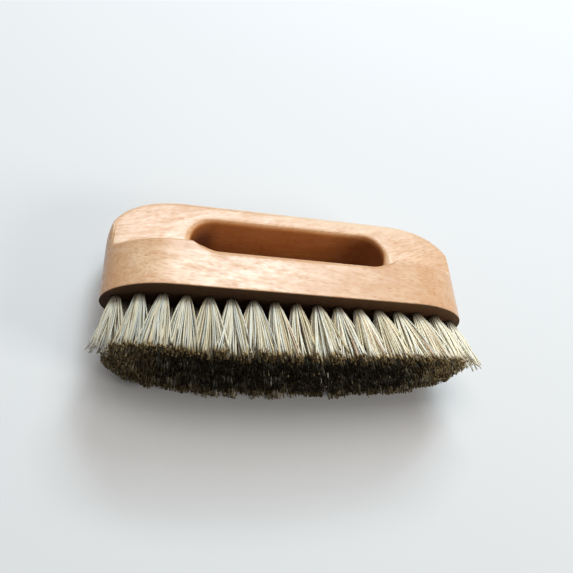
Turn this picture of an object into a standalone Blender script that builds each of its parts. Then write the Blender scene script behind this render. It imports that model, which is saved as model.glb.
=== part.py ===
"""Furniture brush: a one-piece beech block with a grip slot, drilled for fifty tufts of mixed fibre.

The brush is modelled in its own axes, X along the block, -Y towards the recessed front and +Z
towards the crest, with the sole at zero. A parent empty then lays it on its back, resting on the
back crest edge and the tips of the back row, as it lies on a table.
"""

import math
import random

import bmesh
import bpy
from mathutils import Matrix, Vector

# Block, seen from above: straight sides and half-elliptic ends
BLOCK_LENGTH = 0.190
BLOCK_THICKNESS = 0.046
END_CURVE_LENGTH = 0.033
END_LEAN = 0.0015

# Block, seen from the front: level sole, flat crest, two big round shoulders
BLOCK_HEIGHT = 0.058
SHOULDER_LENGTH = 0.040
SHOULDER_HEIGHT = 0.029
SOLE_EDGE_RADIUS = 0.0008
CREST_EDGE_RADIUS = 0.003

# Front recess above the base band
BAND_HEIGHT = 0.0255
BAND_EDGE_RADIUS = 0.0015
LEDGE_RISE = 0.0006
COVE_RADIUS = 0.003
RECESS_DEPTH_AT_FOOT = 0.013
RECESS_DEPTH_AT_CREST = 0.0153

# Grip slot
SLOT_FROM_BLOCK_END = 0.042
SLOT_HEIGHT = 0.0258
SLOT_CENTRE_HEIGHT = 0.0341
SLOT_EDGE_RADIUS = 0.0032
CUT_OVERRUN = 0.004

# Drilled holes in the sole
HOLE_DIAMETER = 0.0054
HOLE_DEPTH = 0.012
TUFTS_IN_OUTER_ROW = 17
END_HOLE_FROM_BLOCK_END = 0.00796
OUTER_ROW_FROM_SIDE = 0.0115
OUTER_ROW_END_FROM_BLOCK_END = 0.005

# Tufts
SEAT_CLEARANCE = 0.0003
FREE_LENGTH = 0.0358
FAN_PAST_BLOCK_END = 0.0025
FAN_PAST_SIDE = 0.0078
FAN_END_CURVE_EXTRA = 0.022
TUFT_GAP = 0.0005
STRAND_WIDTH = 0.0014
STRAND_TIP_WIDTH = 0.0012
STRAND_ROOT_GAP = 0.0002
TRIM_UNEVENNESS = 0.0008
CROWN_DROP = 0.0095
CROWN_SHARPNESS_SHARE = 3.0

# Counts
END_STATIONS = 20
ARC_STEPS = 4
SLOT_END_STEPS = 16
FLARE_STEPS = 4
HOLE_SIDES = 16
STRANDS_IN_TUFT = 8
RIM_SEARCH_STEPS = 30
STRAND_SEED = 17

# Shares
CORNER_SHARPNESS_SHARE = 24.0
SHOULDER_FULLNESS_SHARE = 2.35
LAST_STATION_SHARE = 0.985
THIN_END_RADIUS_SHARE = 0.45
FLARE_SWEEP_SHARE = 0.89
FLARE_LIFT_SHARE = 0.05
ROW_SHARE_OF_TIP_FACE = 2 / 3
BEND_HEIGHT_SHARE = 0.5
BEND_SPREAD_SHARE = 0.4
LEAST_REACH_SHARE = 0.5
BEECH_ROUGHNESS_SHARE = 0.42
FIBRE_ROUGHNESS_SHARE = 0.6

# Colours
BEECH = (0.78, 0.53, 0.33, 1.0)
FIBRE = (0.62, 0.56, 0.43, 1.0)

# Sizes that follow from the ones above
HALF_LENGTH = BLOCK_LENGTH / 2
HALF_THICKNESS = BLOCK_THICKNESS / 2
STRAIGHT_HALF_LENGTH = HALF_LENGTH - END_CURVE_LENGTH
SLOT_LENGTH = BLOCK_LENGTH - 2 * SLOT_FROM_BLOCK_END
OUTER_ROW_OFFSET = HALF_THICKNESS - OUTER_ROW_FROM_SIDE
OUTER_ROW_END_CURVE = END_CURVE_LENGTH - OUTER_ROW_END_FROM_BLOCK_END
TUFT_PITCH = (BLOCK_LENGTH - 2 * END_HOLE_FROM_BLOCK_END) / (TUFTS_IN_OUTER_ROW - 1)
TIP_FACE_LENGTH = BLOCK_LENGTH + 2 * FAN_PAST_BLOCK_END
TIP_FACE_WIDTH = BLOCK_THICKNESS + 2 * FAN_PAST_SIDE
TIP_FACE_END_CURVE = END_CURVE_LENGTH + FAN_END_CURVE_EXTRA


def clear_scene():
    for item in list(bpy.data.objects):
        bpy.data.objects.remove(item, do_unlink=True)


def make_material(name, colour, roughness):
    material = bpy.data.materials.new(name)
    material.use_nodes = True
    shader = material.node_tree.nodes["Principled BSDF"]
    shader.inputs["Base Color"].default_value = colour
    shader.inputs["Roughness"].default_value = roughness
    shader.inputs["Metallic"].default_value = 0.0
    material.diffuse_color = colour
    return material


def oiled_beech():
    return make_material("oiled_beech", BEECH, BEECH_ROUGHNESS_SHARE)


def mixed_fibre():
    return make_material("mixed_fibre", FIBRE, FIBRE_ROUGHNESS_SHARE)


def add_object(name, bm, parent, material=None):
    bmesh.ops.recalc_face_normals(bm, faces=bm.faces)
    mesh = bpy.data.meshes.new(name)
    bm.to_mesh(mesh)
    bm.free()
    item = bpy.data.objects.new(name, mesh)
    bpy.context.scene.collection.objects.link(item)
    item.parent = parent
    if material is not None:
        mesh.materials.append(material)
    return item


def arc(centre, radius, start, end, steps=ARC_STEPS):
    """Points on a round corner, angles in degrees from +Y towards +Z."""
    angles = [math.radians(start + (end - start) * i / steps) for i in range(steps + 1)]
    return [(centre[0] + radius * math.cos(a), centre[1] + radius * math.sin(a)) for a in angles]


def squashed_arc(centre, across, radius, start, end):
    """A round corner whose size along Y is cut down to fit a narrow ledge."""
    points = arc((0.0, 0.0), 1.0, start, end)
    return [(centre[0] + across * y, centre[1] + radius * z) for y, z in points]


def soft_least(a, b):
    """The smaller of two sizes, blended where they are close, which rounds the corner between them."""
    power = CORNER_SHARPNESS_SHARE
    return (a ** -power + b ** -power) ** (-1 / power)


def half_width_at(x):
    """Half the block's thickness at a place along it."""
    past = max(abs(x) - STRAIGHT_HALF_LENGTH, 0.0) / END_CURVE_LENGTH
    return HALF_THICKNESS * math.sqrt(max(1 - past ** 2, 0.0))


def crest_height_at(x):
    """Height of the top outline at a place along the block, with shoulders a little fuller than ellipses."""
    power = SHOULDER_FULLNESS_SHARE
    past = max(abs(x) - (HALF_LENGTH - SHOULDER_LENGTH), 0.0) / SHOULDER_LENGTH
    return BLOCK_HEIGHT - SHOULDER_HEIGHT * (1 - max(1 - past ** power, 0.0) ** (1 / power))


def recessed_front_at(z):
    """Distance of the recessed front face from the middle plane; it leans back towards the crest."""
    rise = (z - BAND_HEIGHT) / (BLOCK_HEIGHT - BAND_HEIGHT)
    depth = RECESS_DEPTH_AT_FOOT + (RECESS_DEPTH_AT_CREST - RECESS_DEPTH_AT_FOOT) * rise
    return HALF_THICKNESS - depth


def block_section(x):
    """The Y, Z outline of the block at a place along it."""
    wide = half_width_at(x)
    top = crest_height_at(x)
    sole_r = min(SOLE_EDGE_RADIUS, wide * THIN_END_RADIUS_SHARE)
    crest_r = min(CREST_EDGE_RADIUS, wide * THIN_END_RADIUS_SHARE)
    foot = soft_least(wide, recessed_front_at(BAND_HEIGHT))
    front_top = soft_least(wide, recessed_front_at(top))
    fit = min((wide - foot) / (BAND_EDGE_RADIUS + COVE_RADIUS), 1.0)
    edge_y = BAND_EDGE_RADIUS * fit
    cove_y = COVE_RADIUS * fit
    ledge_top = BAND_HEIGHT + LEDGE_RISE
    edge_centre = (-wide + edge_y, BAND_HEIGHT - BAND_EDGE_RADIUS)
    cove_centre = (-foot - cove_y, ledge_top + COVE_RADIUS)
    outline = arc((-wide + sole_r, sole_r), sole_r, 270, 180)
    outline += squashed_arc(edge_centre, edge_y, BAND_EDGE_RADIUS, 180, 90)
    outline += squashed_arc(cove_centre, cove_y, COVE_RADIUS, -90, 0)
    outline += arc((-front_top + crest_r, top - crest_r), crest_r, 180, 90)
    outline += arc((wide - crest_r, top - crest_r), crest_r, 90, 0)
    outline += arc((wide - sole_r, sole_r), sole_r, 0, -90)
    return outline


def block_stations():
    """Places along the block for its sections, closer together where the ends curve."""
    steps = [math.radians(90 * LAST_STATION_SHARE * i / END_STATIONS) for i in range(END_STATIONS + 1)]
    curved = [STRAIGHT_HALF_LENGTH + END_CURVE_LENGTH * math.sin(a) for a in steps]
    shoulder = HALF_LENGTH - SHOULDER_LENGTH
    right = [shoulder, (shoulder + STRAIGHT_HALF_LENGTH) / 2] + curved
    return [-x for x in reversed(right)] + right


def leaned(x, y, z):
    """The ends lean in a little towards the crest."""
    return Vector((x * (1 - END_LEAN / HALF_LENGTH * z / BLOCK_HEIGHT), y, z))


def loft(rings):
    """A closed body through rings with the same number of points, with flat ends."""
    bm = bmesh.new()
    loops = [[bm.verts.new(point) for point in ring] for ring in rings]
    for first, second in zip(loops, loops[1:]):
        for i in range(len(first)):
            j = (i + 1) % len(first)
            bm.faces.new((first[i], first[j], second[j], second[i]))
    bm.faces.new(loops[0])
    bm.faces.new(loops[-1])
    return bm


def stadium():
    """Points round the slot's outline as X, Z and the outward direction."""
    radius = SLOT_HEIGHT / 2
    reach = SLOT_LENGTH / 2 - radius
    points = []
    for side in (1, -1):
        for i in range(SLOT_END_STEPS + 1):
            angle = math.radians(180 * i / SLOT_END_STEPS - 90)
            out = (side * math.cos(angle), side * math.sin(angle))
            points.append((side * reach + radius * out[0], SLOT_CENTRE_HEIGHT + radius * out[1], out))
    return points


def flare(face_y):
    """Depth and widening of the rounded mouth of a cut, up to just past the face that it opens in."""
    steps = [math.radians(90 * FLARE_SWEEP_SHARE * i / FLARE_STEPS) for i in range(FLARE_STEPS + 1)]
    radius = SLOT_EDGE_RADIUS
    mouth = [(face_y - radius * (1 - math.sin(a)), radius * (1 - math.cos(a))) for a in steps]
    lift = radius * (1 - math.sin(steps[-1]) + FLARE_LIFT_SHARE)
    mouth.append((face_y + radius * FLARE_LIFT_SHARE, mouth[-1][1] + lift * math.tan(steps[-1])))
    return mouth


def above_ledge(z):
    """Whether a height of the slot's outline is on the recessed face: 0 on the band, 1 above the cove."""
    start = BAND_HEIGHT - SLOT_EDGE_RADIUS
    end = BAND_HEIGHT + LEDGE_RISE + COVE_RADIUS
    share = min(max((z - start) / (end - start), 0.0), 1.0)
    return share * share * (3 - 2 * share)


def slot_cutter(parent):
    """A stadium bar through the block, flared where it opens in the band, the recessed face and the back."""
    rings = []
    outline = stadium()
    back = flare(HALF_THICKNESS)
    for depth, widening in [(HALF_THICKNESS + CUT_OVERRUN, back[-1][1])] + back[::-1]:
        rings.append([(x + widening * out[0], depth, z + widening * out[1]) for x, z, out in outline])
    for step in range(FLARE_STEPS + 2):
        ring = []
        for x, z, out in outline:
            depth, widening = flare(recessed_front_at(max(z, BAND_HEIGHT)))[step]
            widening *= above_ledge(z)
            ring.append((x + widening * out[0], -depth, z + widening * out[1]))
        rings.append(ring)
    face = flare(recessed_front_at(BAND_HEIGHT))
    band = flare(HALF_THICKNESS)
    for depth, widening in band + [(HALF_THICKNESS + CUT_OVERRUN, band[-1][1])]:
        ring = []
        for x, z, out in outline:
            share = above_ledge(z)
            wider = share * face[-1][1] + (1 - share) * widening
            ring.append((x + wider * out[0], -depth, z + wider * out[1]))
        rings.append(ring)
    bm = loft(rings)
    bmesh.ops.triangulate(bm, faces=bm.faces)
    return as_cutter(add_object("slot_cutter", bm, parent))


def as_cutter(item):
    item.hide_render = True
    item.display_type = "WIRE"
    return item


def outer_row_y(x):
    """Offset of the outer rows from the middle; they draw in round the block's ends."""
    past = max(abs(x) - STRAIGHT_HALF_LENGTH, 0.0) / OUTER_ROW_END_CURVE
    return OUTER_ROW_OFFSET * math.sqrt(max(1 - past ** 2, 0.0))


def tuft_places():
    """Row name, number and hole centre of each tuft: two outer rows and a staggered middle one."""
    places = []
    for row, side, count in (("front", -1, TUFTS_IN_OUTER_ROW),
                             ("middle", 0, TUFTS_IN_OUTER_ROW - 1),
                             ("back", 1, TUFTS_IN_OUTER_ROW)):
        for i in range(count):
            x = (i - (count - 1) / 2) * TUFT_PITCH
            places.append((row, i + 1, Vector((x, side * outer_row_y(x)))))
    return places


def tip_centre(root):
    """Where a tuft's middle reaches the trimmed face: the tufts fan out to share its length and width."""
    tip_pitch = TIP_FACE_LENGTH / TUFTS_IN_OUTER_ROW
    row_y = ROW_SHARE_OF_TIP_FACE * TIP_FACE_WIDTH / 2
    return Vector((root.x * tip_pitch / TUFT_PITCH, root.y * row_y / OUTER_ROW_OFFSET))


def hole_cutter(parent, places):
    """All the drilled holes as one set of round bars."""
    bm = bmesh.new()
    for _, _, root in places:
        middle = Matrix.Translation((root.x, root.y, (HOLE_DEPTH - CUT_OVERRUN) / 2))
        bmesh.ops.create_cone(bm, cap_ends=True, segments=HOLE_SIDES, radius1=HOLE_DIAMETER / 2,
                              radius2=HOLE_DIAMETER / 2, depth=HOLE_DEPTH + CUT_OVERRUN, matrix=middle)
    return as_cutter(add_object("hole_cutter", bm, parent))


def cut(item, cutter):
    modifier = item.modifiers.new("cut_" + cutter.name, "BOOLEAN")
    modifier.operation = "DIFFERENCE"
    modifier.solver = "EXACT"
    modifier.object = cutter


def block(parent, places, material):
    rings = [[leaned(x, y, z) for y, z in block_section(x)] for x in block_stations()]
    item = add_object("block", loft(rings), parent, material)
    item.data.shade_smooth()
    cut(item, slot_cutter(parent))
    cut(item, hole_cutter(parent, places))
    return item


def inside_tip_face(point):
    half_length = TIP_FACE_LENGTH / 2
    past = max(abs(point.x) - (half_length - TIP_FACE_END_CURVE), 0.0) / TIP_FACE_END_CURVE
    return past < 1 and abs(point.y) <= TIP_FACE_WIDTH / 2 * math.sqrt(1 - past ** 2)


def trimmed_length(x):
    """Free length of the fibres that end at a place along the brush: longest in the middle."""
    return FREE_LENGTH - CROWN_DROP * (abs(x) / (TIP_FACE_LENGTH / 2)) ** CROWN_SHARPNESS_SHARE


def reach_to_trim(centre, way):
    """Distance from a tuft's middle to the rim of the trimmed face."""
    near, far = 0.0, TIP_FACE_LENGTH
    for _ in range(RIM_SEARCH_STEPS):
        middle = (near + far) / 2
        if inside_tip_face(centre + way * middle):
            near = middle
        else:
            far = middle
    return near


def reach(centre, way, centres):
    """How far out a tuft may set a strand's tip before it meets its neighbours or the rim."""
    limits = [reach_to_trim(centre, way) - STRAND_TIP_WIDTH / math.sqrt(12)]
    for other in centres:
        across = other - centre
        if across.length > 0 and across.dot(way) > 0:
            room = (across.length - TUFT_GAP) / 2 - STRAND_TIP_WIDTH / math.sqrt(3)
            limits.append(room * across.length / across.dot(way))
    return min(limits)


def strand_corners(middle, way, distance, width, z):
    """The three corners of a strand's section, one of them pointing at the tuft's middle."""
    side = Vector((-way.y, way.x))
    corners = ((-width / math.sqrt(3), 0.0),
               (width / math.sqrt(12), -width / 2),
               (width / math.sqrt(12), width / 2))
    flat = [middle + way * (distance + out) + side * off for out, off in corners]
    return [Vector((p.x, p.y, z)) for p in flat]


def move_face(face, targets):
    """Put a triangle's corners on the nearest targets round its middle, keeping its turn."""
    corners = list(face.verts)
    orders = [targets[i:] + targets[:i] for i in range(len(targets))]
    orders += [order[::-1] for order in orders]
    turn = face.normal.z
    best = None
    for order in orders:
        way = (order[1] - order[0]).cross(order[2] - order[0]).z
        off = sum(((c.co - t).xy).length for c, t in zip(corners, order))
        if way * turn > 0 and (best is None or off < best[0]):
            best = (off, order)
    for corner, target in zip(corners, best[1]):
        corner.co = target


def tuft(parent, name, root, centres, chance, material, outer_side):
    """A round root seated in its hole, with strands that grow from it and never leave their own sector."""
    seat_radius = HOLE_DIAMETER / 2 * math.cos(math.pi / HOLE_SIDES) - SEAT_CLEARANCE
    seat_length = HOLE_DEPTH - SEAT_CLEARANCE
    bm = bmesh.new()
    turned = Matrix.Rotation(math.pi / STRANDS_IN_TUFT, 4, "Z")
    seat = Matrix.Translation((0.0, 0.0, seat_length / 2)) @ turned
    bmesh.ops.create_cone(bm, cap_ends=True, cap_tris=True, segments=STRANDS_IN_TUFT,
                          radius1=seat_radius, radius2=seat_radius, depth=seat_length, matrix=seat)
    bm.normal_update()
    sectors = [f for f in bm.faces if all(v.co.z < seat_length / 2 for v in f.verts)]
    bmesh.ops.inset_individual(bm, faces=sectors, thickness=STRAND_ROOT_GAP, use_even_offset=True)
    tip = tip_centre(root) - root
    spreads = []
    for face in sectors:
        way = face.calc_center_median().xy.normalized()
        trimmed = way.y * outer_side > 1 - LEAST_REACH_SHARE / STRANDS_IN_TUFT
        share = 1.0 if trimmed else chance.uniform(LEAST_REACH_SHARE, 1)
        farthest = max(reach(tip_centre(root), way, centres) * share, 2 * STRAND_TIP_WIDTH)
        short = 0.0 if trimmed else chance.uniform(0, TRIM_UNEVENNESS)
        spreads.append((way, farthest, trimmed_length(tip_centre(root).x + way.x * farthest) - short))
    rings = ((BEND_HEIGHT_SHARE, BEND_SPREAD_SHARE, STRAND_WIDTH), (1.0, 1.0, STRAND_TIP_WIDTH))
    for height, spread, width in rings:
        grown = bmesh.ops.extrude_discrete_faces(bm, faces=sectors)["faces"]
        for face, (way, farthest, length) in zip(grown, spreads):
            distance = seat_radius * ROW_SHARE_OF_TIP_FACE * (1 - spread) + farthest * spread
            move_face(face, strand_corners(tip * spread, way, distance, width, -length * height))
        sectors = grown
        bm.normal_update()
    item = add_object(name, bm, parent, material)
    item.location = (root.x, root.y, 0.0)
    return item


def tufts(parent, places, material):
    chance = random.Random(STRAND_SEED)
    centres = [tip_centre(root) for _, _, root in places]
    sides = {"front": -1, "middle": 0, "back": 1}
    for row, number, root in places:
        name = f"tuft_{row}_{number:02d}"
        tuft(parent, name, root, centres, chance, material, sides[row])


def resting_angle():
    """Tilt of the brush on its back, with the back crest edge and the back tips on one plane."""
    edge_y = HALF_THICKNESS - CREST_EDGE_RADIUS
    edge_z = BLOCK_HEIGHT - CREST_EDGE_RADIUS
    across = TIP_FACE_WIDTH / 2 - edge_y
    along = edge_z + FREE_LENGTH
    return math.atan2(across, along) - math.asin(CREST_EDGE_RADIUS / math.hypot(across, along))


def lay_on_back(root):
    """Turn the brush onto its back and stand its outline's middle over the origin, on the floor."""
    root.rotation_euler = (-math.pi / 2 - resting_angle(), 0.0, 0.0)
    bpy.context.view_layer.update()
    solids = [item for item in root.children if not item.hide_render]
    corners = [item.matrix_world @ v.co for item in solids for v in item.data.vertices]
    low = Vector([min(c[i] for c in corners) for i in range(3)])
    high = Vector([max(c[i] for c in corners) for i in range(3)])
    root.location = (-(low.x + high.x) / 2, -(low.y + high.y) / 2, -low.z)
    bpy.context.view_layer.update()


def main():
    clear_scene()
    brush = bpy.data.objects.new("furniture_brush", None)
    bpy.context.scene.collection.objects.link(brush)
    places = tuft_places()
    block(brush, places, oiled_beech())
    tufts(brush, places, mixed_fibre())
    lay_on_back(brush)


main()
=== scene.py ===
# %% [markdown]
# # Furniture brush
# A furniture brush is a beech block, shaped to be held by its grip slot, with fifty tufts of mixed plant
# fibre set in drilled holes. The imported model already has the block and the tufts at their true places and
# sizes. It comes in as a fixed frame, and this lesson dresses it: oiled wood with its grain, and tufts of
# thin single fibres.

import math
import random

import bpy
import numpy as np
from mathutils import Matrix, Vector


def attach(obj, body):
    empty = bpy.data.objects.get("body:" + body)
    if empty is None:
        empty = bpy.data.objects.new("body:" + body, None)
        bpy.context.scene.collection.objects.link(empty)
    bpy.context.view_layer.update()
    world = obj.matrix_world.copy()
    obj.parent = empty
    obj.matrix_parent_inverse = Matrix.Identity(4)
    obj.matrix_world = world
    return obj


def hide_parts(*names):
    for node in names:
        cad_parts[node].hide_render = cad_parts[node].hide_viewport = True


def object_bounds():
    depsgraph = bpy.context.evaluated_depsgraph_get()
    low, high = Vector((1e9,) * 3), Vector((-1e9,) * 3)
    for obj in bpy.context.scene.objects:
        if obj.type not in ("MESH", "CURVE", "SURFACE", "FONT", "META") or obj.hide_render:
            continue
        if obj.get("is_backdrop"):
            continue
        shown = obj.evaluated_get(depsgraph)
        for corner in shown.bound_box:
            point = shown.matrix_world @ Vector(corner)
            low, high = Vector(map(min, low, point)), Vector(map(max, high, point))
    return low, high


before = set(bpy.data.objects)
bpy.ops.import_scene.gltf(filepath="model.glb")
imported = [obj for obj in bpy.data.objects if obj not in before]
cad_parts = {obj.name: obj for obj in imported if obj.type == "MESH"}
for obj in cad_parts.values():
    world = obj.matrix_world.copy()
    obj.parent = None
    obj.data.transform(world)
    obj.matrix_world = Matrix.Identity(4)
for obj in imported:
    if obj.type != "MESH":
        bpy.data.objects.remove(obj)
cad_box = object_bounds()
print("nodes", len(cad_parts), "box", [tuple(round(x, 4) for x in corner) for corner in cad_box])

# %% [markdown]
# ## The brush's own axes
# The brush lies on its back and leans by five degrees, because the fan of the bristles is wider than the
# block. It is easier to think of it standing up: X along the block, Z from the sole to the crest, and the
# recessed front towards -Y. One matrix turns such plain sizes into places on the table. Its place and its
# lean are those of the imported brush, so that every tuft and every shader pattern finds the real holes and
# the real slot.

# %% The matrix that lays the brush down
BLOCK_LENGTH = 0.190
BLOCK_THICKNESS = 0.046
BLOCK_HEIGHT = 0.058
LEAN = math.radians(4.902929)
LAID_PLACE = (0.000387, -0.009944, 0.027663)
LAID_TURN = (-math.pi / 2 - LEAN, 0.0, 0.0)

laid = Matrix.Translation(LAID_PLACE) @ Matrix.Rotation(LAID_TURN[0], 4, "X")
crest = laid @ Vector((0.0, 0.0, BLOCK_HEIGHT))
print("crest line at", tuple(round(x, 4) for x in crest))

# %% [markdown]
# ## The camera
# The picture is taken by hand from above the left end, with the bristles nearest to the lens, so the sole
# and the bristle tips show below the bright front. The place and turn come from matching the corners of the
# block, the slot and the rows of tufts. A lens of 41 mm on a 36 mm film gives the same narrowing towards
# the right end.

# %% Set up the camera
CAMERA_LENS = 40.84
FILM_WIDTH = 36.0
CAMERA_PLACE = (-0.08461, -0.13070, 0.32853)
CAMERA_TURN = (0.41886, -0.26072, -0.02402)

camera_data = bpy.data.cameras.new("camera")
camera_data.lens = CAMERA_LENS
camera_data.sensor_width = FILM_WIDTH
camera = bpy.data.objects.new("camera", camera_data)
camera.location = CAMERA_PLACE
camera.rotation_euler = CAMERA_TURN
bpy.context.scene.collection.objects.link(camera)
bpy.context.scene.camera = camera
bpy.context.scene.view_settings.view_transform = "Standard"
print("camera", tuple(camera.location))

# %% [markdown]
# ## Small helpers for shader nodes
# A material is a small network. One helper adds a node with its settings and its inputs, where an input is
# either a value or the output of another node. The others give the sums, ranges and mixes that come back
# all the time a name of their own, which keeps each material short enough to read as a recipe.


# %% Helpers for nodes
def add_node(tree, kind, inputs=None, **settings):
    node = tree.nodes.new(kind)
    for name, value in settings.items():
        setattr(node, name, value)
    for name, value in (inputs or {}).items():
        if isinstance(value, bpy.types.NodeSocket):
            tree.links.new(value, node.inputs[name])
        else:
            node.inputs[name].default_value = value
    return node


def math_node(tree, operation, first, second=0.0, clamp=False):
    inputs = {0: first, 1: second}
    return add_node(tree, "ShaderNodeMath", inputs, operation=operation, use_clamp=clamp).outputs[0]


def product(tree, first, *others):
    for other in others:
        first = math_node(tree, "MULTIPLY", first, other)
    return first


def largest(tree, first, *others):
    for other in others:
        first = math_node(tree, "MAXIMUM", first, other)
    return first


def weighted_sum(tree, values, weights):
    """The named values, each times its weight, added up."""
    total = None
    for name, weight in weights.items():
        part = math_node(tree, "MULTIPLY", values[name], weight)
        total = part if total is None else math_node(tree, "ADD", total, part)
    return total


def map_range(tree, value, low, high, to_low=0.0, to_high=1.0, kind="LINEAR"):
    inputs = {"Value": value, "From Min": low, "From Max": high, "To Min": to_low, "To Max": to_high}
    return add_node(tree, "ShaderNodeMapRange", inputs, interpolation_type=kind).outputs[0]


def separate(tree, vector):
    return add_node(tree, "ShaderNodeSeparateXYZ", {"Vector": vector}).outputs


def attribute(tree, name):
    return add_node(tree, "ShaderNodeAttribute", attribute_name=name).outputs["Fac"]


print("number helpers ready")

# %% [markdown]
# ## Helpers for colours
# Colours are mixed by a share, multiplied for a shade, or read off a ramp. A backdrop also has to know
# whether the eye looks straight at it, so that it can look pale without throwing more light on the brush.


# %% Helpers for colours and materials
def ramp(tree, value, stops, interpolation="LINEAR"):
    """A colour ramp with (position, colour) stops."""
    node = add_node(tree, "ShaderNodeValToRGB", {"Fac": value})
    node.color_ramp.interpolation = interpolation
    while len(node.color_ramp.elements) < len(stops):
        node.color_ramp.elements.new(1.0)
    for element, (position, colour) in zip(node.color_ramp.elements, stops):
        element.position = position
        element.color = (*colour, 1.0)
    return node.outputs["Color"]


def mix_colours(tree, share, first, second, blend="MIX"):
    """Two colours mixed. Sockets 0, 6 and 7 of this node are the share and the two colours."""
    node = tree.nodes.new("ShaderNodeMix")
    node.data_type = "RGBA"
    node.blend_type = blend
    for index, value in ((0, share), (6, first), (7, second)):
        if isinstance(value, bpy.types.NodeSocket):
            tree.links.new(value, node.inputs[index])
        else:
            node.inputs[index].default_value = value if index == 0 else (*value, 1.0)
    return node.outputs[2]


def shade_colour(tree, colour, shade):
    return mix_colours(tree, 1.0, colour, shade, "MULTIPLY")


def grey(tree, value):
    """A number as a colour, to brighten or dull another colour with."""
    return add_node(tree, "ShaderNodeCombineColor", {"Red": value, "Green": value, "Blue": value}).outputs[0]


def seen_share(tree):
    """1 where the eye, a shine or a glass looks straight at a backdrop, 0 where only its light arrives."""
    rays = add_node(tree, "ShaderNodeLightPath").outputs
    seen = math_node(tree, "ADD", rays["Is Camera Ray"], rays["Is Glossy Ray"])
    return math_node(tree, "ADD", seen, rays["Is Transmission Ray"], clamp=True)


def new_material(name):
    material = bpy.data.materials.new(name)
    material.use_nodes = True
    return material, material.node_tree, material.node_tree.nodes["Principled BSDF"]


print("colour helpers ready")

# %% [markdown]
# ## The table
# The brush lies on a pale plain table. It could be a bright white plane, but such a plane throws light up
# into the bristles and washes out their shade. So it looks pale to the eye and bounces only a little light.
# Far away it turns into the same even light as the backdrop, so that no edge shows in low views.

# %% Build the table
TABLE_SIDE = 12.0
TABLE_FADES = (0.45, 1.8)
TABLE_SEEN = (0.74, 0.74, 0.745)
TABLE_BOUNCE = (0.16, 0.16, 0.16)
TABLE_ROUGHNESS = 0.8
TABLE_GLOSS = 0.1
BACKDROP = (0.86, 0.86, 0.87, 1.0)
BLACK = (0.0, 0.0, 0.0)

bpy.ops.object.select_all(action="DESELECT")
bpy.ops.mesh.primitive_plane_add(size=TABLE_SIDE, location=(0.0, 0.0, 0.0))
table = bpy.context.active_object
table.name = "table"
table_material, tree, shader = new_material("pale_table")
seen = seen_share(tree)
spot = add_node(tree, "ShaderNodeTexCoord").outputs["Object"]
away = add_node(tree, "ShaderNodeVectorMath", {0: spot}, operation="LENGTH").outputs["Value"]
far = product(tree, seen, map_range(tree, away, *TABLE_FADES, kind="SMOOTHSTEP"))
near_colour = mix_colours(tree, seen, TABLE_BOUNCE, TABLE_SEEN)
tree.links.new(mix_colours(tree, far, near_colour, BLACK), shader.inputs["Base Color"])
tree.links.new(far, shader.inputs["Emission Strength"])
shader.inputs["Emission Color"].default_value = BACKDROP
shader.inputs["Roughness"].default_value = TABLE_ROUGHNESS
shader.inputs["Specular IOR Level"].default_value = TABLE_GLOSS
table.data.materials.append(table_material)
table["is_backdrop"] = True
print("table", TABLE_SIDE, "m wide, fades out from", TABLE_FADES[0], "m")

# %% [markdown]
# ## The light
# Four soft lamps stand round the table as a photographer would set them. A large one hangs almost overhead,
# so that the front is bright, the sole and the tips are in shade, and a soft shadow lies below the
# bristles. Two smaller ones stand on the crest's side, where the oiled wood mirrors them to the camera: a
# window gives the sheen on the middle of the band, and a long low strip gives it on the recessed front,
# which leans back by four degrees more. The fourth stands lower, at the right, and lights the bristles and
# the block's right end from the side. A weak even sky fills the shade.

# %% Hang the lamps and the sky
LAMP_DISTANCE = 1.5
WARM_WHITE = (1.0, 0.98, 0.95)
WARMER_WHITE = (1.0, 0.96, 0.90)
DAYLIGHT = (0.78, 0.92, 1.0)
LAMPS = {
    "overhead": {"way": (-0.06, 0.28, 0.95), "size": (1.20, 0.60), "power": 12.0, "colour": WARM_WHITE},
    "window": {"way": (0.145, 0.57, 0.80), "size": (0.30, 0.34), "power": 5.2, "colour": DAYLIGHT},
    "strip": {"way": (0.15, 0.72, 0.68), "size": (0.85, 0.20), "power": 9.8, "colour": DAYLIGHT},
    "side": {"way": (0.80, -0.34, 0.50), "size": (0.60, 0.60), "power": 7.5, "colour": WARMER_WHITE},
}
SKY_COLOUR = (*WARM_WHITE, 1.0)
SKY_STRENGTH = 0.10


def hang_lamp(name, way, size, power, colour):
    lamp = bpy.data.lights.new(name, "AREA")
    lamp.shape = "RECTANGLE"
    lamp.size, lamp.size_y = size
    lamp.energy = power
    lamp.color = colour
    held = bpy.data.objects.new(name, lamp)
    way = Vector(way).normalized()
    held.location = way * LAMP_DISTANCE
    held.rotation_euler = (-way).to_track_quat("-Z", "Y").to_euler()
    bpy.context.scene.collection.objects.link(held)


for name, lamp in LAMPS.items():
    hang_lamp(name, **lamp)

sky = bpy.data.worlds.new("sky")
sky.use_nodes = True
bpy.context.scene.world = sky
tree = sky.node_tree
tree.nodes.clear()
fill = add_node(tree, "ShaderNodeBackground", {"Color": SKY_COLOUR, "Strength": SKY_STRENGTH})
backdrop = add_node(tree, "ShaderNodeBackground", {"Color": BACKDROP, "Strength": 1.0})
shaders = {0: seen_share(tree), 1: fill.outputs[0], 2: backdrop.outputs[0]}
mixed = add_node(tree, "ShaderNodeMixShader", shaders)
add_node(tree, "ShaderNodeOutputWorld", {"Surface": mixed.outputs[0]})
print("lamps", list(LAMPS))

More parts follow.
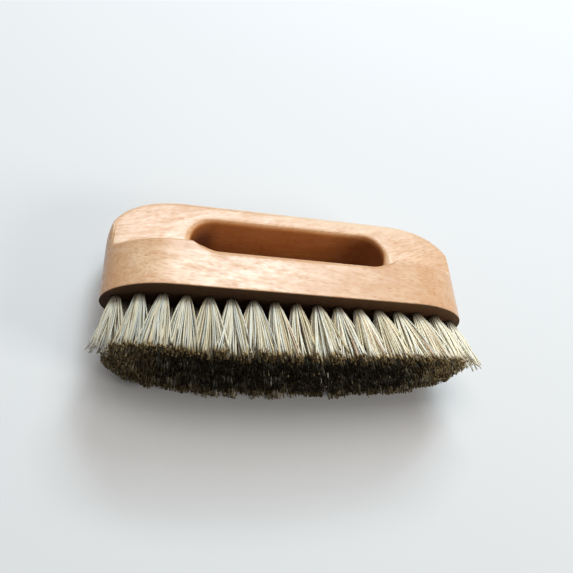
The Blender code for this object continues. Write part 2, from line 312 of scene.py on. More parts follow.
# %% [markdown]
# ## Beech grain
# Beech is a pale, even wood. What tells it from other woods is the flecks: thousands of short orange-brown
# dashes, the rays, two to four millimetres long and a hair wide, all lying along the grain. Under them run
# faint bands of growth, fine lines and pores. All of it is stretched noise: cells that are long along X and
# narrow across. The oil soaks in unevenly, so the sheen comes and goes in patches. The group keeps the wood
# apart from the finish, so that any oil, wax or lacquer can be laid over the same grain.

# %% The patterns in the grain
GRAIN_TURN = (0.0, math.radians(-3.5), math.radians(2.0))
# Each noise has its cells in a metre along X, Y and Z, its detail, its roughness and its distortion.
GRAIN_NOISES = {
    "growth": ((7.0, 75.0, 75.0), 3.0, 0.55, 0.6),
    "clouds": ((38.0, 75.0, 75.0), 3.0, 0.6, 0.0),
    "streaks": ((95.0, 380.0, 380.0), 3.0, 0.6, 0.0),
    "lines": ((36.0, 1300.0, 1300.0), 2.0, 0.6, 0.0),
    "pores": ((170.0, 1900.0, 1900.0), 3.0, 0.7, 0.0),
    "patches": ((260.0, 420.0, 420.0), 2.0, 0.7, 0.0),
}
FLECK_CELLS = (230.0, 1350.0, 1350.0)
FLECK_EDGE = (0.52, 0.12)
FLECK_CHOICE = (0.30, 0.85)
FLECK_STRENGTH = 0.5
BAND_WEIGHTS = {"growth": 0.55, "clouds": 0.55}
BAND_RANGE = (0.42, 0.68)
# Each tint has its noise, the range that it shows in, its full strength and its colour.
GRAIN_TINTS = (
    ("streaks", (0.44, 0.62), 0.75, "Dark wood"),
    ("lines", (0.45, 0.68), 0.50, "Dark wood"),
    ("pores", (0.50, 0.70), 0.45, "Fleck"),
)
ROUGH_WEIGHTS = {"lines": 0.5, "clouds": 0.5}
ROUGH_RANGE = (0.35, 0.65)
ROUGHNESS = (0.30, 0.46)
DENT_WEIGHTS = {"flecks": 0.3, "pores": 0.4}
WAVE_WEIGHTS = {"lines": 0.3, "streaks": 1.6}
SOAKED_WEIGHTS = {"streaks": 0.5, "patches": 0.5}
SOAKED_RANGE = (0.40, 0.60)
SHEEN = (1.0, 0.25)
print("grain noises", list(GRAIN_NOISES))

# %% [markdown]
# ## The grain as a node group
# A node group is made once and can be used by any material. Its inputs are the place on the wood and the
# three colours of the beech, and its outputs are the colour, the roughness, the share of sheen and the
# height of the surface. The flecks are the middles of cells, and only some of the cells have one.


# %% Build the beech grain group
def grain_sockets(face):
    face.new_socket("Vector", in_out="INPUT", socket_type="NodeSocketVector")
    strength = face.new_socket("Fleck strength", in_out="INPUT", socket_type="NodeSocketFloat")
    strength.default_value = FLECK_STRENGTH
    for name in ("Light wood", "Dark wood", "Fleck"):
        face.new_socket(name, in_out="INPUT", socket_type="NodeSocketColor")
    face.new_socket("Color", in_out="OUTPUT", socket_type="NodeSocketColor")
    for name in ("Roughness", "Sheen", "Height"):
        face.new_socket(name, in_out="OUTPUT", socket_type="NodeSocketFloat")


def grain_patterns(tree, place):
    """Every noise of the grain and the flecks, by name."""
    turned = add_node(tree, "ShaderNodeMapping", {"Vector": place, "Rotation": GRAIN_TURN}).outputs[0]

    def stretched(cells):
        return add_node(tree, "ShaderNodeMapping", {"Vector": turned, "Scale": cells}).outputs[0]

    patterns = {}
    for name, (cells, detail, roughness, distortion) in GRAIN_NOISES.items():
        inputs = {"Vector": stretched(cells), "Scale": 1.0, "Detail": detail, "Roughness": roughness,
                  "Distortion": distortion}
        patterns[name] = add_node(tree, "ShaderNodeTexNoise", inputs).outputs["Fac"]
    cells = add_node(tree, "ShaderNodeTexVoronoi", {"Vector": stretched(FLECK_CELLS), "Scale": 1.0,
                                                    "Randomness": 1.0}, feature="F1").outputs
    chosen = add_node(tree, "ShaderNodeSeparateColor", {"Color": cells["Color"]}).outputs[0]
    patterns["flecks"] = product(tree, map_range(tree, cells["Distance"], *FLECK_EDGE),
                                 map_range(tree, chosen, *FLECK_CHOICE))
    return patterns


def beech_grain_group():
    tree = bpy.data.node_groups.new("beech_grain", "ShaderNodeTree")
    grain_sockets(tree.interface)
    given = add_node(tree, "NodeGroupInput").outputs
    patterns = grain_patterns(tree, given["Vector"])
    band = weighted_sum(tree, patterns, BAND_WEIGHTS)
    colour = mix_colours(tree, map_range(tree, band, *BAND_RANGE), given["Light wood"], given["Dark wood"])
    for name, shown, strength, tint in GRAIN_TINTS:
        share = map_range(tree, patterns[name], *shown, 0.0, strength)
        colour = mix_colours(tree, share, colour, given[tint])
    flecked = product(tree, patterns["flecks"], given["Fleck strength"])
    colour = mix_colours(tree, flecked, colour, given["Fleck"])
    rough = map_range(tree, weighted_sum(tree, patterns, ROUGH_WEIGHTS), *ROUGH_RANGE, *ROUGHNESS)
    sheen = map_range(tree, weighted_sum(tree, patterns, SOAKED_WEIGHTS), *SOAKED_RANGE, *SHEEN)
    dents = weighted_sum(tree, patterns, DENT_WEIGHTS)
    waves = weighted_sum(tree, patterns, WAVE_WEIGHTS)
    height = math_node(tree, "SUBTRACT", 1.0, math_node(tree, "ADD", dents, waves))
    results = {"Color": colour, "Roughness": rough, "Sheen": sheen, "Height": height}
    add_node(tree, "NodeGroupOutput", results)
    return tree


beech_grain = beech_grain_group()
print("beech grain group with", len(beech_grain.nodes), "nodes")

# %% [markdown]
# ## Finding the grip slot
# The slot is cut right through the block, and its wall is rougher than the sanded outside, so it drinks
# more oil and turns darker orange-brown; the rest of its darkness is painted shade, for the little light
# that gets in. The wall could be a material of its own on chosen faces, but then a hard line would run round
# the rounded mouth. A mask fades it in instead. It is the distance from the slot's outline, a bar with round
# ends, in the brush's own axes, together with how deep a place lies behind the front. The front is the band
# at the bottom and the recess above it, so the depth is measured from either. The painted shade starts later
# on the mouth's lower half, which turns its broad rounding to the light, and a further painted shade darkens
# the wall deepest in, at the left end, where least light comes back.

# %% Masks for the slot's wall and its rim
SLOT_LENGTH = 0.106
SLOT_HEIGHT = 0.0258
SLOT_CENTRE_HEIGHT = 0.0341
RIM_LENGTH = 0.0032
BAND_HEIGHT = 0.0255
LEDGE_LENGTH = 0.0036
RECESS_FRONT = -0.009
# Shares of the rim's length, outside the outline or behind the front
WALL_OUTSIDE_SHARES = (1.00, 0.50)
RIM_OUTSIDE_SHARES = (1.10, 0.80)
RIM_DEPTH_SHARES = (0.80, 0.50)
TURNS_BELOW_SHARE = 0.70
TURNS_ABOVE_SHARES = (0.28, 0.02)
TURNING_SHARE = 0.36
# Shares of the slot's height, from its middle line, and of its length, from its middle
LOWER_HALF_SHARES = (-0.25, 0.125)
RIGHT_CORNER_SHARES = (0.30, 0.48)
LEFT_PAINTED_SHADE_SHARES = (-0.33, -0.42)
# Shares of the block's thickness
LEFT_PAINTED_SHADE_DEPTH_SHARES = (0.04, 0.36)


def sized(shares, size):
    return [share * size for share in shares]


def brush_axes(tree):
    """The place on the brush, in the brush's own axes."""
    place = add_node(tree, "ShaderNodeTexCoord").outputs["Object"]
    inputs = {"Vector": place, "Location": LAID_PLACE, "Rotation": LAID_TURN}
    return add_node(tree, "ShaderNodeMapping", inputs, vector_type="TEXTURE").outputs[0]


def outside_slot(tree, parts):
    """How far a place lies outside the slot's outline."""
    radius = SLOT_HEIGHT / 2
    past = math_node(tree, "SUBTRACT", math_node(tree, "ABSOLUTE", parts["X"]), SLOT_LENGTH / 2 - radius)
    past = math_node(tree, "MAXIMUM", past, 0.0)
    across = math_node(tree, "SUBTRACT", parts["Z"], SLOT_CENTRE_HEIGHT)
    square = math_node(tree, "ADD", product(tree, past, past), product(tree, across, across))
    return math_node(tree, "SUBTRACT", math_node(tree, "SQRT", square), radius)


def slot_shares(tree, place):
    """How much a place is on the slot's wall, on its rounded rim, and in the painted shade deep at its left
    end.
    """
    parts = separate(tree, place)
    outside = outside_slot(tree, parts)
    across = math_node(tree, "SUBTRACT", parts["Z"], SLOT_CENTRE_HEIGHT)
    mouth = map_range(tree, parts["Z"], BAND_HEIGHT, BAND_HEIGHT + LEDGE_LENGTH,
                      -BLOCK_THICKNESS / 2, RECESS_FRONT)
    depth = math_node(tree, "SUBTRACT", parts["Y"], mouth)
    above = map_range(tree, parts["X"], *sized(RIGHT_CORNER_SHARES, SLOT_LENGTH),
                      *sized(TURNS_ABOVE_SHARES, RIM_LENGTH))
    turn_in = map_range(tree, across, *sized(LOWER_HALF_SHARES, SLOT_HEIGHT),
                        RIM_LENGTH * TURNS_BELOW_SHARE, above)
    turned = math_node(tree, "ADD", turn_in, RIM_LENGTH * TURNING_SHARE)
    wall = product(tree, map_range(tree, outside, *sized(WALL_OUTSIDE_SHARES, RIM_LENGTH)),
                   map_range(tree, depth, turn_in, turned))
    rim = product(tree, map_range(tree, outside, *sized(RIM_OUTSIDE_SHARES, RIM_LENGTH)),
                  map_range(tree, depth, *sized(RIM_DEPTH_SHARES, RIM_LENGTH)),
                  map_range(tree, parts["Y"], 0.0, RECESS_FRONT / 2))
    # Painted shade: the wall is darkest deepest in at the slot's left end, where least light comes back.
    left = map_range(tree, parts["X"], *sized(LEFT_PAINTED_SHADE_SHARES, SLOT_LENGTH), kind="SMOOTHSTEP")
    deepest_painted_shade = product(tree, left, map_range(tree, depth, *sized(LEFT_PAINTED_SHADE_DEPTH_SHARES, BLOCK_THICKNESS)))
    return wall, rim, deepest_painted_shade


print("slot", SLOT_LENGTH, "by", SLOT_HEIGHT, "m, rim", RIM_LENGTH, "m")

# %% [markdown]
# ## Painted highlights on the edges and a slanting grain
# The edges that stand out are painted paler, a painted highlight for the light that they catch, and they get
# no coat: the ledge between the band and the recess beside the slot, the rounded outer edge of the recess,
# and a strip along the crest. They are found by their place and by how far the surface faces up as the brush
# lies.
# The recess is cut at a slant to the wood's growth, so the grain climbs to the right there. Pushing the
# place that the grain reads up or down along X gives just that, with no second grain.

# %% Masks for the painted highlights on the edges and the recess
RECESS_STARTS = (-0.0118, -0.0108)
RECESS_ENDS = (-0.0060, -0.0070)
RECESS_FOOT_SHARE = 0.25
LEDGE_FOOT_SHARE = 1 / 6
LEDGE_TOP_SHARES = (1.2, 0.8)
BESIDE_SLOT = (0.002, 0.007)
EDGE_STARTS_FACING = (-0.02, 0.18)
EDGE_ENDS_FACING = (0.95, 0.70)
CREST_STRIP_HEIGHTS = (0.0500, 0.0565)
CREST_STRIP_FACING = (0.30, 0.50)
CREST_STRIP_ALONG = (-0.03, 0.02)
ENDS_WITHOUT_PAINTED_HIGHLIGHT = (0.65, 0.35)
GRAIN_SLANT = math.tan(math.radians(20))


def recess_share(tree, place):
    """1 on the recessed front face, 0 elsewhere."""
    parts = separate(tree, place)
    foot = BAND_HEIGHT + LEDGE_LENGTH * RECESS_FOOT_SHARE
    return product(tree, map_range(tree, parts["Y"], *RECESS_STARTS),
                   map_range(tree, parts["Y"], *RECESS_ENDS),
                   map_range(tree, parts["Z"], BAND_HEIGHT, foot))


def painted_highlight_edge_share(tree, place, facing, endwards):
    """1 on the painted highlight: the ledge beside the slot, the recess's outer edge and the crest's strip.
    """
    parts = separate(tree, place)
    sideways = math_node(tree, "ABSOLUTE", parts["X"])
    ledge_foot = BAND_HEIGHT + LEDGE_LENGTH * LEDGE_FOOT_SHARE
    ledge_top = [BAND_HEIGHT + up for up in sized(LEDGE_TOP_SHARES, LEDGE_LENGTH)]
    beside_slot = [SLOT_LENGTH / 2 + away for away in BESIDE_SLOT]
    ledge = product(tree, map_range(tree, parts["Z"], BAND_HEIGHT, ledge_foot),
                    map_range(tree, parts["Z"], *ledge_top),
                    map_range(tree, parts["Y"], 0.0, RECESS_FRONT / 2),
                    map_range(tree, sideways, *beside_slot))
    rounded = product(tree, map_range(tree, facing, *EDGE_STARTS_FACING),
                      map_range(tree, facing, *EDGE_ENDS_FACING),
                      map_range(tree, parts["Z"], BAND_HEIGHT, BAND_HEIGHT + LEDGE_LENGTH))
    strip = product(tree, map_range(tree, parts["Z"], *CREST_STRIP_HEIGHTS),
                    map_range(tree, facing, *CREST_STRIP_FACING),
                    map_range(tree, parts["X"], *CREST_STRIP_ALONG))
    return product(tree, largest(tree, ledge, rounded, strip), map_range(tree, endwards, *ENDS_WITHOUT_PAINTED_HIGHLIGHT))


def slanted(tree, place):
    """The place with its height pushed up along the recessed face, which slants the grain there."""
    along = separate(tree, place)["X"]
    lift = product(tree, along, -GRAIN_SLANT, recess_share(tree, place))
    lifted = add_node(tree, "ShaderNodeCombineXYZ", {"Z": lift}).outputs[0]
    return add_node(tree, "ShaderNodeVectorMath", {0: place, 1: lifted}, operation="ADD").outputs[0]


print("grain slants by", round(math.degrees(math.atan(GRAIN_SLANT))), "degrees on the recess")

# %% [markdown]
# ## Oiled beech
# The outside is sanded and oiled: warm, with a soft sheen that is a thin coat over the wood. The end grain,
# where the surface turns towards the ends of the block, drinks more oil and turns darker. The wall of the
# slot is darker from more oil and from painted shade, and the sole is painted dark, a painted shade for the
# shade of the tufts. The edges that stand out are painted paler, a painted highlight, and they and all the
# dry places have no sheen. Everything is laid over the grain in one material, so the flecks run on from face
# to face as they do in one piece of wood.

# %% Make the oiled beech
LIGHT_BEECH = (0.775, 0.530, 0.335)
DARK_BEECH = (0.62, 0.35, 0.185)
FLECK_BEECH = (0.48, 0.20, 0.07)
BLOCK_FLECK_STRENGTH = 0.85

oiled_beech, tree, shader = new_material("oiled_beech_finish")
place = brush_axes(tree)
along = separate(tree, place)["X"]
height = separate(tree, place)["Z"]
normal = separate(tree, add_node(tree, "ShaderNodeTexCoord").outputs["Normal"])
endwards = math_node(tree, "ABSOLUTE", normal["X"])
grain = add_node(tree, "ShaderNodeGroup", node_tree=beech_grain)
tree.links.new(slanted(tree, place), grain.inputs["Vector"])
grain.inputs["Fleck strength"].default_value = BLOCK_FLECK_STRENGTH
for name, colour in (("Light wood", LIGHT_BEECH), ("Dark wood", DARK_BEECH), ("Fleck", FLECK_BEECH)):
    grain.inputs[name].default_value = (*colour, 1.0)
print("grain laid in", oiled_beech.name)

# %% [markdown]
# ## The colour of the block
# The colour starts as the grain and takes one change after another, each through its own mask. The order
# matters: the end grain first, then the painted highlight on the edges that stand out, which stays off the
# slot's wall and rim, then the slot's darker oiled wall with its painted shade, and last the painted shade
# on the sole.

# %% Colour the oiled beech
END_BEECH = (0.64, 0.31, 0.115)
END_GRAIN_FACING = (0.40, 1.0)
END_GRAIN_SHARE = 0.85
# A painted highlight for the edges that stand out.
PAINTED_HIGHLIGHT_BEECH = (0.92, 0.76, 0.58)
PAINTED_HIGHLIGHT_SHARE = 0.50
NO_SHADE = (1.0, 1.0, 1.0)
# The slot's wall colours: its darker oiled wood and a painted shade, darker still towards the right end.
SLOT_OIL_AND_PAINTED_SHADE = (0.93, 0.69, 0.42)
SLOT_RIGHT_PAINTED_SHADE = (0.50, 0.45, 0.42)
SLOT_LEFT_PAINTED_SHADE = (0.33, 0.19, 0.14)
SLOT_RIGHT_PAINTED_SHADE_SHARES = (0.20, 0.50)
# Painted shade for the sole, lighter towards the right end.
SOLE_PAINTED_SHADE = (0.09, 0.068, 0.045)
SOLE_PAINTED_SHADE_RIGHT = (0.17, 0.13, 0.08)
SOLE_EDGE = 0.0008
SOLE_EDGE_SHARES = (0.6, 0.1)

end_share = map_range(tree, endwards, *END_GRAIN_FACING, 0.0, END_GRAIN_SHARE)
colour = mix_colours(tree, end_share, grain.outputs["Color"], END_BEECH)

in_slot, on_rim, left_painted_shade = slot_shares(tree, place)
# Painted highlight: the edges that stand out are painted paler, but not on the slot's wall and rim.
wear_and_painted_highlight = painted_highlight_edge_share(tree, place, normal["Z"], endwards)
off_slot = math_node(tree, "SUBTRACT", 1.0, largest(tree, in_slot, on_rim))
edge_painted_highlight = product(tree, wear_and_painted_highlight, off_slot, PAINTED_HIGHLIGHT_SHARE)
colour = mix_colours(tree, edge_painted_highlight, colour, PAINTED_HIGHLIGHT_BEECH)

# Painted shade on the slot's wall, over its darker oiled wood: darker towards the right end, deepest at the
# left.
right_painted_shade = map_range(tree, along, *sized(SLOT_RIGHT_PAINTED_SHADE_SHARES, SLOT_LENGTH), kind="SMOOTHSTEP")
shade = mix_colours(tree, right_painted_shade, NO_SHADE, SLOT_RIGHT_PAINTED_SHADE)
shade = shade_colour(tree, shade, SLOT_OIL_AND_PAINTED_SHADE)
shade = mix_colours(tree, left_painted_shade, shade, SLOT_LEFT_PAINTED_SHADE)
colour = mix_colours(tree, in_slot, colour, shade_colour(tree, colour, shade))

# Painted shade on the sole.
on_sole = map_range(tree, height, *sized(SOLE_EDGE_SHARES, SOLE_EDGE))
rightwards = map_range(tree, along, 0.0, BLOCK_LENGTH / 2)
painted_sole_shade = mix_colours(tree, rightwards, SOLE_PAINTED_SHADE, SOLE_PAINTED_SHADE_RIGHT)
colour = mix_colours(tree, on_sole, colour, shade_colour(tree, colour, painted_sole_shade))
tree.links.new(colour, shader.inputs["Base Color"])
print("colour masks: ends, worn edges, slot, sole")

# %% [markdown]
# ## The sheen of the block
# The oil fills the grain, so the sheen is a coat that comes and goes with the wood under it. The dry places
# are rougher and have no coat, and neither have the rim and the edges with the painted highlight. A fine
# bump lets the pores and flecks catch the light.

# %% Give the oiled beech its sheen
DRY_ROUGHNESS = 0.35
BUMP_STRENGTH = 0.22
BUMP_DISTANCE = 0.0002
OILED_IOR = 1.36
OILED_COAT_ROUGHNESS = 0.30

dry = largest(tree, in_slot, on_sole)
roughness = math_node(tree, "ADD", grain.outputs["Roughness"], product(tree, dry, DRY_ROUGHNESS))
tree.links.new(roughness, shader.inputs["Roughness"])
shiny = math_node(tree, "SUBTRACT", 1.0, largest(tree, dry, on_rim, wear_and_painted_highlight))
tree.links.new(product(tree, grain.outputs["Sheen"], shiny), shader.inputs["Coat Weight"])
bump = add_node(tree, "ShaderNodeBump", {"Strength": BUMP_STRENGTH, "Distance": BUMP_DISTANCE,
                                         "Height": grain.outputs["Height"]})
tree.links.new(bump.outputs[0], shader.inputs["Normal"])
shader.inputs["IOR"].default_value = OILED_IOR
shader.inputs["Coat Roughness"].default_value = OILED_COAT_ROUGHNESS
print("oiled beech with", len(tree.nodes), "nodes")

# %% [markdown]
# ## The block
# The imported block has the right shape, cut into loose flat triangles. It could be modelled again, but a
# copy of it is sure to fit. The copy is merged at its seams and shaded smooth up to a crease angle, so that
# the rounded edges and ends read as turned wood, while the ledge stays crisp. Normals weighted by the area
# and the angle of each face keep the broad flat faces flat next to their rounded rims.

# %% Make the smooth block
CREASE_ANGLE = math.radians(32)
MERGE_DISTANCE = 0.00001

bpy.ops.object.select_all(action="DESELECT")
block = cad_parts["block"].copy()
block.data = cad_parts["block"].data.copy()
for key in list(block.keys()):
    del block[key]
block.name = "beech_block"
block.parent = None
bpy.context.scene.collection.objects.link(block)
block.select_set(True)
bpy.context.view_layer.objects.active = block
bpy.ops.mesh.customdata_custom_splitnormals_clear()
bpy.ops.object.mode_set(mode="EDIT")
bpy.ops.mesh.select_all(action="SELECT")
bpy.ops.mesh.remove_doubles(threshold=MERGE_DISTANCE)
bpy.ops.mesh.mark_sharp(clear=True)
bpy.ops.object.mode_set(mode="OBJECT")
bpy.ops.object.shade_smooth_by_angle(angle=CREASE_ANGLE)
bpy.ops.object.modifier_add(type="WEIGHTED_NORMAL")
block.modifiers[-1].keep_sharp = True
block.modifiers[-1].mode = "FACE_AREA_WITH_ANGLE"
bpy.ops.object.modifier_apply(modifier=block.modifiers[-1].name)
block.data.materials.clear()
block.data.materials.append(oiled_beech)
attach(block, "root")
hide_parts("block")
print("block with", len(block.data.vertices), "points and", len(block.data.polygons), "faces")

# %% [markdown]
# ## One fibre
# A single fibre is a thin stalk with five sides, cut square at its tip. It is modelled once, one unit long
# and one unit in radius: a flat disc, extruded upwards in steps. The steps give the places where a copy can
# bend. Hair curves would be lighter, but a mesh stays a real piece in every program that opens the model.

# %% Model the one fibre
FIBRE_SIDES = 5
BEND_SHARES = (0.0, 0.10, 0.28, 0.46, 0.64, 0.82, 1.0)

bpy.ops.object.select_all(action="DESELECT")
bpy.ops.mesh.primitive_circle_add(vertices=FIBRE_SIDES, radius=1.0, fill_type="NGON", location=(0, 0, 0))
fibre = bpy.context.active_object
fibre.name = "one_fibre"
bpy.ops.object.mode_set(mode="EDIT")
bpy.ops.mesh.select_all(action="SELECT")
for low, high in zip(BEND_SHARES, BEND_SHARES[1:]):
    bpy.ops.mesh.extrude_region_move(TRANSFORM_OT_translate={"value": (0.0, 0.0, high - low)})
bpy.ops.mesh.select_all(action="SELECT")
bpy.ops.mesh.normals_make_consistent(inside=False)
bpy.ops.object.mode_set(mode="OBJECT")
bpy.ops.object.shade_smooth()
fibre_points = np.array([v.co for v in fibre.data.vertices])
fibre_faces = [tuple(p.vertices) for p in fibre.data.polygons]
bpy.data.objects.remove(fibre, do_unlink=True)
print("one fibre with", len(fibre_points), "points and", len(fibre_faces), "faces")

# %% [markdown]
# ## Where the tufts stand and how far they fan
# Two outer rows of seventeen holes and a staggered middle row of sixteen are drilled in the sole. The outer
# rows draw in round the ends of the block. The bristles end on a trimmed face, a little larger than the
# block and with the same round ends, and the tufts share that face between them: each one fans out until it
# meets its neighbours or the rim.

# %% Work out the tufts' places and reach
END_CURVE_LENGTH = 0.033
TUFTS_IN_OUTER_ROW = 17
TUFT_PITCH = 0.01088
OUTER_ROW_OFFSET = 0.0115
OUTER_ROW_END_CURVE = 0.028
TIP_FACE_LENGTH = 0.195
TIP_FACE_WIDTH = 0.0616
TIP_FACE_END_CURVE = 0.055
# Each row has its side of the block's middle and its count of tufts.
ROWS = (
    ("front", -1, TUFTS_IN_OUTER_ROW),
    ("middle", 0, TUFTS_IN_OUTER_ROW - 1),
    ("back", 1, TUFTS_IN_OUTER_ROW),
)
REACH_HALVINGS = 24


def outer_row_y(x):
    past = max(abs(x) - (BLOCK_LENGTH / 2 - END_CURVE_LENGTH), 0.0) / OUTER_ROW_END_CURVE
    return OUTER_ROW_OFFSET * math.sqrt(max(1 - past ** 2, 0.0))


def tuft_places():
    """Each tuft's name, its row and its hole in the sole."""
    places = []
    for row, side, count in ROWS:
        for i in range(count):
            x = (i - (count - 1) / 2) * TUFT_PITCH
            places.append((f"{row}_{i + 1:02d}", row, Vector((x, side * outer_row_y(x)))))
    return places


def tip_centre(root):
    """The middle of a tuft's part of the trimmed face."""
    tip_pitch = TIP_FACE_LENGTH / TUFTS_IN_OUTER_ROW
    return Vector((root.x * tip_pitch / TUFT_PITCH, root.y * TIP_FACE_WIDTH / len(ROWS) / OUTER_ROW_OFFSET))


def past_straight(x):
    """How far a place lies in the curved end of the trimmed face: 0 where the curve starts, 1 at the tip."""
    return max(abs(x) - (TIP_FACE_LENGTH / 2 - TIP_FACE_END_CURVE), 0.0) / TIP_FACE_END_CURVE


def rim_y(x):
    """Half the width of the trimmed face at a place along it."""
    return TIP_FACE_WIDTH / 2 * math.sqrt(max(1 - past_straight(x) ** 2, 0.0))


def inside_tip_face(point):
    return past_straight(point.x) < 1 and abs(point.y) <= rim_y(point.x)


def reach(centre, way, overlap):
    """How far a tuft spreads in one direction at its tips."""
    near, far = 0.0, TIP_FACE_LENGTH
    for _ in range(REACH_HALVINGS):
        middle = (near + far) / 2
        near, far = (middle, far) if inside_tip_face(centre + way * middle) else (near, middle)
    limits = [near]
    for other in centres:
        across = other - centre
        if across.length > 0 and across.dot(way) > 0:
            limits.append(overlap * across.length ** 2 / 2 / across.dot(way))
    return min(limits)


places = tuft_places()
centres = [tip_centre(root) for _, _, root in places]
print("tufts", len(places))

# %% [markdown]
# ## Fibre colours
# The mix is mostly cream and straw-coloured fibre with some white, grey and reddish stalks and a few dark
# ones. The cut ends are painted dark: partly the fibre's darker core, mostly painted shade, since the tips
# face away from the light. Fifty materials would be hard to keep alike, so there is one, and each stalk
# carries five numbers for it. Tone picks its colour, run says how far a point lies from the sole, a third
# number where the painted shade of the dark end begins, front how much painted light that end gets, most
# along the front rim, where the tips catch more light, and dusk how far down a painted shade from the block
# reaches.
# Fine streaks run along it, and the sheen is low, as on dry plant fibre.

# %% Make the fibre material
FIBRE_TONES = (
    (0.00, (0.10, 0.075, 0.045)),
    (0.12, (0.66, 0.68, 0.62)),
    (0.22, (0.60, 0.50, 0.32)),
    (0.32, (0.94, 0.92, 0.82)),
    (0.52, (0.95, 0.87, 0.67)),
    (0.80, (0.90, 0.75, 0.50)),
    (0.91, (0.78, 0.55, 0.40)),
)
# Cut ends: partly the fibre's darker core, mostly painted shade.
CUT_ENDS_IN_PAINTED_SHADE = (
    (0.00, (0.014, 0.008, 0.004)),
    (0.45, (0.043, 0.029, 0.013)),
    (0.80, (0.076, 0.056, 0.026)),
    (1.00, (0.115, 0.090, 0.046)),
)
# Painted light on the cut ends, from dull to bright.
CUT_END_PAINTED_LIGHT = (0.42, 8.0)
CUT_END_POWER = 0.5
CUT_END_TURNS = 37.0
STREAK_COLOUR = (0.76, 0.68, 0.50)
STREAK_RANGE = (0.3, 0.7)
STREAK_SHARE = 0.45
STREAKS_ACROSS_TONES = 400.0
STREAKS_ALONG = 3.0
# Painted shade at the roots.
ROOT_PAINTED_SHADE = (0.10, 0.08, 0.06)
LEFT_DULL = 0.66
FIBRE_ROUGHNESS = (0.42, 0.62)
FIBRE_IOR = 1.2
FIBRE_GLOSS = 0.08

mixed_fibre, tree, shader = new_material("mixed_fibre_finish")
tone = attribute(tree, "tone")
run = attribute(tree, "run")
strand = add_node(tree, "ShaderNodeCombineXYZ", {"X": product(tree, tone, STREAKS_ACROSS_TONES),
                                                 "Y": product(tree, run, STREAKS_ALONG)}).outputs[0]
streak = add_node(tree, "ShaderNodeTexNoise", {"Vector": strand, "Scale": 1.0, "Detail": 2.0}).outputs["Fac"]
streak = map_range(tree, streak, *STREAK_RANGE, 0.0, STREAK_SHARE)
colour = mix_colours(tree, streak, ramp(tree, tone, FIBRE_TONES, "CONSTANT"), STREAK_COLOUR)

# The cut ends take a painted light, strongest along the front rim and dull towards the back.
end_tone = math_node(tree, "FRACT", product(tree, tone, CUT_END_TURNS))
front = math_node(tree, "POWER", attribute(tree, "front"), CUT_END_POWER)
end_painted_light = grey(tree, map_range(tree, front, 0.0, 1.0, *CUT_END_PAINTED_LIGHT))
end_colour = shade_colour(tree, ramp(tree, end_tone, CUT_ENDS_IN_PAINTED_SHADE), end_painted_light)
# The dark end of each stalk: mostly painted shade for the shaded tips.
cut = map_range(tree, run, attribute(tree, "painted_tip_shade"), 1.0, kind="SMOOTHSTEP")
colour = mix_colours(tree, cut, colour, end_colour)

# Painted shade near the roots, for the block's shade, reaching further down in the rows behind.
root_painted_shade_share = map_range(tree, run, 0.0, attribute(tree, "dusk"), 1.0, 0.0, kind="SMOOTHSTEP")
colour = mix_colours(tree, root_painted_shade_share, colour, shade_colour(tree, colour, ROOT_PAINTED_SHADE))
across = separate(tree, brush_axes(tree))["X"]
dulled = grey(tree, map_range(tree, across, -BLOCK_LENGTH / 2, BLOCK_LENGTH / 4, LEFT_DULL, 1.0))
tree.links.new(shade_colour(tree, colour, dulled), shader.inputs["Base Color"])
tree.links.new(map_range(tree, streak, 0.0, STREAK_SHARE, *FIBRE_ROUGHNESS), shader.inputs["Roughness"])
shader.inputs["IOR"].default_value = FIBRE_IOR
shader.inputs["Specular IOR Level"].default_value = FIBRE_GLOSS
print("fibre with", len(tree.nodes), "nodes")

# %% [markdown]
# ## Bending a fibre
# The stalks stand close together in the hole, then fan out in gentle curves. A stalk's line starts a little
# way inside its hole, and its points spread faster near the sole than near the tip, with a small bow to one
# side. The one fibre is then laid along that line, ring by ring. It is thinner in the hole, where the
# fibres are pressed together, and a little thinner again at the tip.

# %% Helpers that bend the one fibre
ROOT_DEPTH = 0.004
SPREAD_POWER = 0.86
TAPER_SHARES = (0.72, 0.84, 0.96, 1.03, 1.08, 1.10, 1.04)


def fibre_line(root, tip, length, bow_way, bow):
    """Points of a stalk from inside its hole to its tip, in the brush's own axes."""
    line = []
    total = ROOT_DEPTH + length
    for share in BEND_SHARES:
        z = ROOT_DEPTH - total * share
        out = max(-z, 0.0) / length
        at = root + (tip - root) * out ** SPREAD_POWER + bow_way * (bow * math.sin(math.pi * out))
        line.append((at.x, at.y, z))
    return np.array(line)


def fibre_copy(line, radius):
    """The one fibre bent along a line, with its sides tapered."""
    shares = np.array(BEND_SHARES)
    rings = np.abs(fibre_points[:, 2][:, None] - shares[None, :]).argmin(axis=1)
    ways = np.gradient(line, axis=0)
    ways /= np.linalg.norm(ways, axis=1)[:, None]
    side = np.cross(ways, (0.0, 1.0, 0.0))
    side /= np.linalg.norm(side, axis=1)[:, None]
    up = np.cross(side, ways)
    taper = (np.array(TAPER_SHARES) * radius)[rings][:, None]
    return (line[rings] + side[rings] * (fibre_points[:, :1] * taper)
            + up[rings] * (fibre_points[:, 1:2] * taper))


print("a fibre bends at", len(BEND_SHARES), "rings")

# %% [markdown]
# ## The trimmed face
# The bristles are trimmed to a crown: longest in the middle, shorter towards both ends. Use has worn them a
# little shorter at the middle of the right half than at the left. A tip lands on its tuft's part of the
# face, moved by a small scatter, and steps back if that is past the rim. A few strays reach further, and at
# the ends the tips draw in, apart from some in front that splay out sideways. A seeded chance decides all
# of it, so the brush comes out the same each time.

